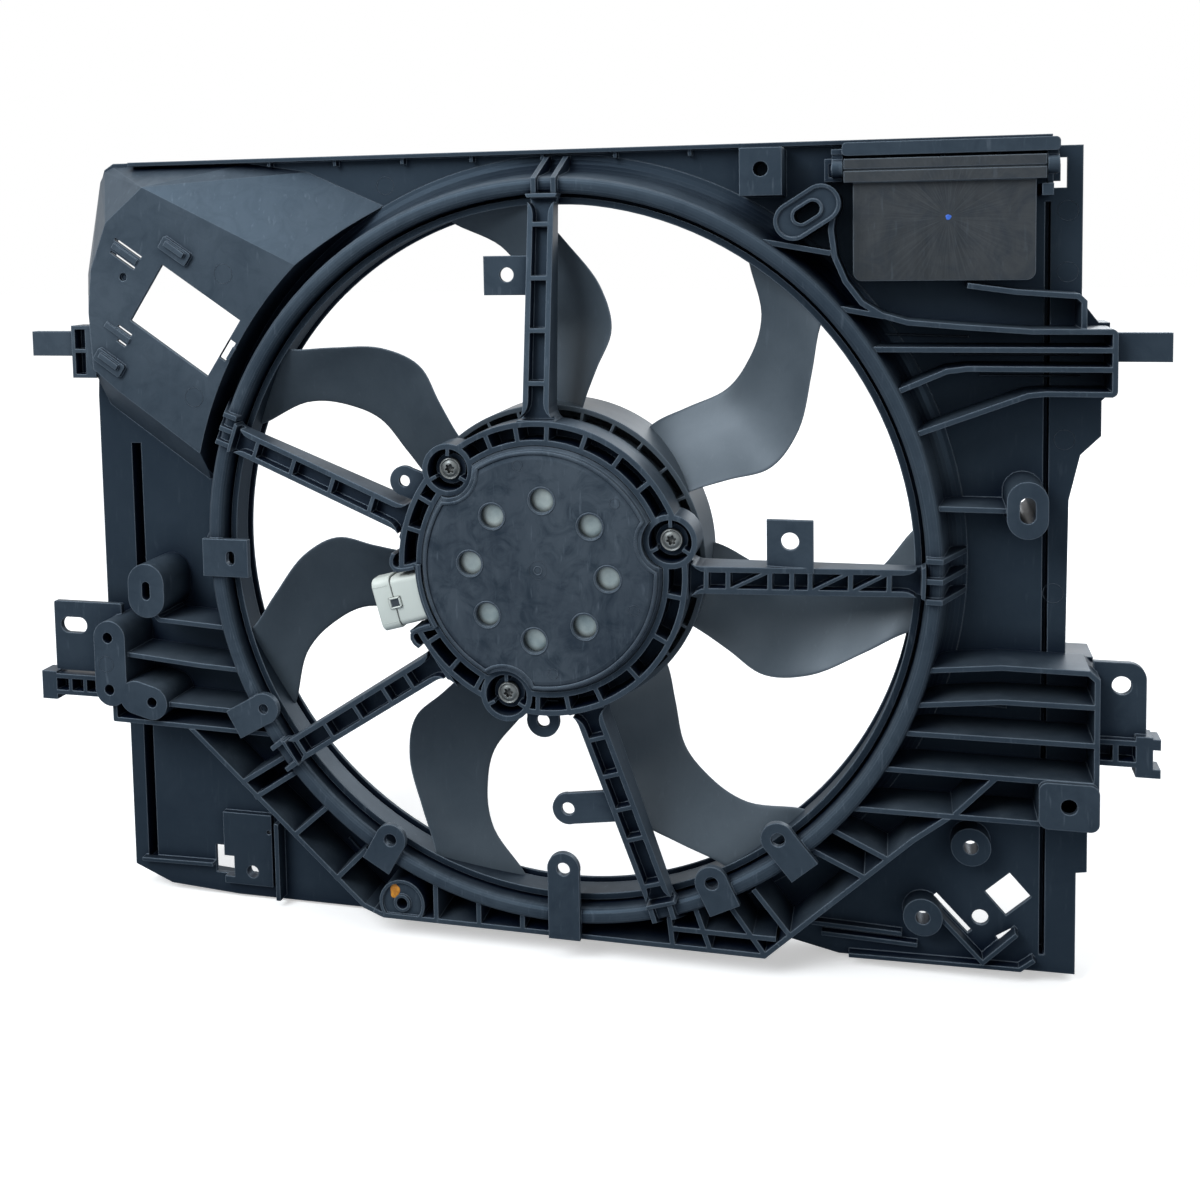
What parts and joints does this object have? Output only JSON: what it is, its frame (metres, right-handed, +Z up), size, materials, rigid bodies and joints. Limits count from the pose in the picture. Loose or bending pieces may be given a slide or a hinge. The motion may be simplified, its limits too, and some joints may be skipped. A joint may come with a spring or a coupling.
{
  "type": "radiator cooling fan",
  "caption": "Radiator cooling fan with a ribbed plastic shroud, a banded axial fan wheel on a motor held by arms, a hinged air flap, side tongues and bolt brackets.",
  "frame": {"origin": "on the fan axis, in the plane of the shroud's rim that faces the radiator", "axes": "+X to the right as seen from the engine side, +Y along the fan axis towards the radiator, +Z up"},
  "size_m": [0.704, 0.089, 0.49],
  "materials": {
    "shroud_plastic": "satin, glass filled, moulded",
    "pocket_plastic": "satin, glass filled, moulded",
    "blade_plastic": "satin, moulded",
    "flap_plastic": "mottled satin, moulded",
    "cover_plastic": "matt with flow marks",
    "motor_steel": "drawn sheet, plated",
    "zinc_plate": "zinc plated, grey green",
    "screw_steel": "zinc flake, bronze grey",
    "bright_steel": "ground",
    "core_steel": "stacked sheets",
    "ferrite": "matt, sintered",
    "copper": "enamelled wire and bars",
    "carbon": "matt carbon",
    "card": "pressed board",
    "connector_white": "off-white, moulded",
    "terminal_brass": "tinned brass",
    "seal_rubber": "silicone"
  },
  "bodies": {
    "shroud": {"shroud_panel": "shroud_plastic", "controller_pocket": "pocket_plastic", "fan_ring": "shroud_plastic", "motor_carrier": "shroud_plastic", "upper_right_box": "shroud_plastic", "flap_frame": "shroud_plastic", "lower_right_box": "shroud_plastic", "lower_left_box": "shroud_plastic", "bottom_truss": "shroud_plastic", "left_truss": "shroud_plastic", "right_truss": "shroud_plastic", "carrier_arms": "shroud_plastic", "motor_can": "motor_steel", "magnets": "ferrite", "front_bearing": "bright_steel", "rear_bearing": "bright_steel", "brush_card": "card", "brushes": "carbon", "brush_springs": "bright_steel", "end_plate": "zinc_plate", "motor_cover": "cover_plastic", "motor_screws": "screw_steel", "screw_sleeves": "bright_steel", "connector_housing": "connector_white", "connector_terminals": "terminal_brass", "connector_seal": "seal_rubber"},
    "rotor": {"fan_hub": "blade_plastic", "fan_blades": "blade_plastic", "fan_band": "blade_plastic", "hub_nut": "bright_steel", "motor_shaft": "bright_steel", "armature_core": "core_steel", "armature_windings": "copper", "commutator": "copper"},
    "flap": {"air_flap": "flap_plastic"}
  },
  "joints": [
    {"name": "fan_spin", "type": "hinge", "parent": "shroud", "child": "rotor", "pos_m": [0, 0, 0], "axis": [0, 1, 0], "continuous": true},
    {"name": "flap_hinge", "type": "hinge", "parent": "shroud", "child": "flap", "pos_m": [0.225, -0.0479, 0.226], "axis": [-1, 0, 0], "range_deg": [0, 75]}
  ]
}
